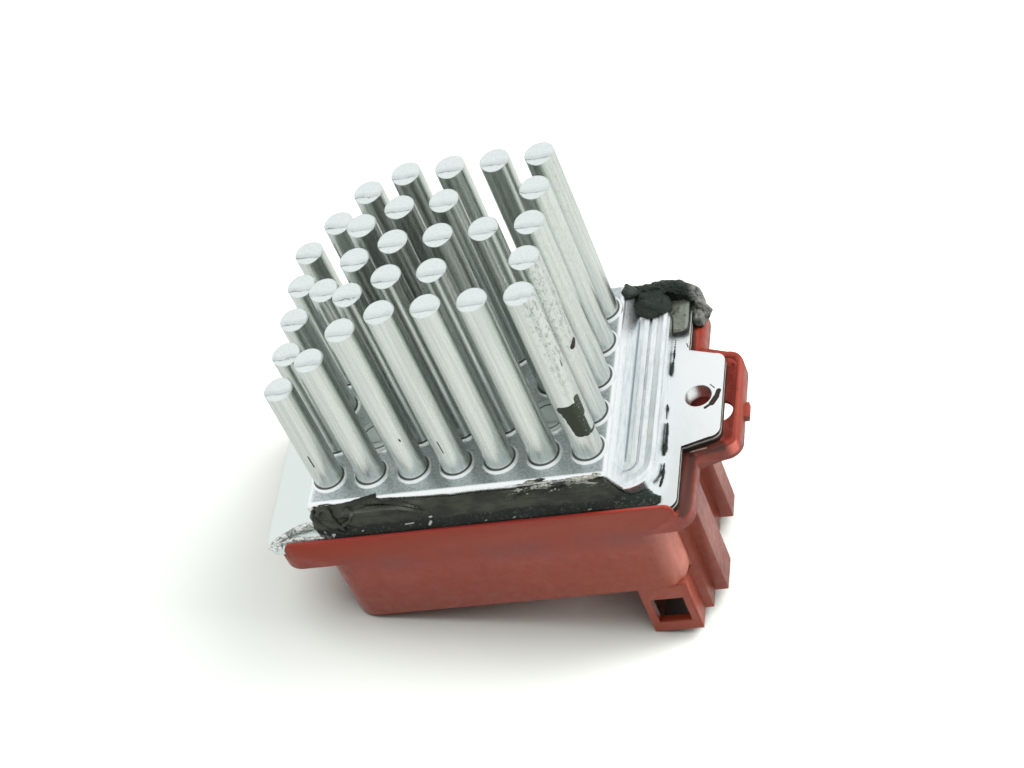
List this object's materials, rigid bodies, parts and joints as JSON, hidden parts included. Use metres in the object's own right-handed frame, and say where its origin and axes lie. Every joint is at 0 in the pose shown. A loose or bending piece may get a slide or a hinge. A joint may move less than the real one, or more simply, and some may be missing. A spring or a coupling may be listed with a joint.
{
  "type": "blower motor resistor",
  "caption": "Blower motor resistor for a vehicle heater: pin heat sink on a moulded case with driver board, plug socket and one fixing lug",
  "frame": {"origin": "on the axis of the fixing hole, on the top face of the flange", "axes": "+X from the pins towards the fixing lug, +Y across the flange, +Z out of the flange along the pins"},
  "size_m": [0.0972, 0.0568, 0.0934],
  "materials": {
    "aluminium": "satin",
    "case_plastic": "matte",
    "sealant": "semi gloss",
    "seal_rubber": "matte",
    "board": "satin",
    "plated_steel": "satin",
    "component_black": "matte",
    "insulator": "matte",
    "shunt_metal": "satin",
    "capacitor_sleeve": "gloss",
    "capacitor_box": "gloss",
    "fuse_metal": "satin",
    "tinned_brass": "satin"
  },
  "bodies": {
    "root": {"heat_sink": "aluminium", "case": "case_plastic", "front_sealant": "sealant", "corner_sealant": "sealant", "rim_seal": "seal_rubber", "circuit_board": "board", "board_screws": "plated_steel", "left_transistor": "component_black", "right_transistor": "component_black", "left_insulator": "insulator", "right_insulator": "insulator", "clamp_bar": "plated_steel", "clamp_screw": "plated_steel", "shunt_resistor": "shunt_metal", "filter_capacitor": "capacitor_sleeve", "film_capacitor": "capacitor_box", "freewheel_diode": "component_black", "thermal_fuse": "fuse_metal", "control_chip": "component_black", "left_gate_resistor": "component_black", "right_gate_resistor": "component_black", "supply_blade": "tinned_brass", "ground_blade": "tinned_brass", "motor_plus_blade": "tinned_brass", "motor_minus_blade": "tinned_brass", "control_pin": "tinned_brass", "sense_pin": "tinned_brass"}
  },
  "joints": []
}
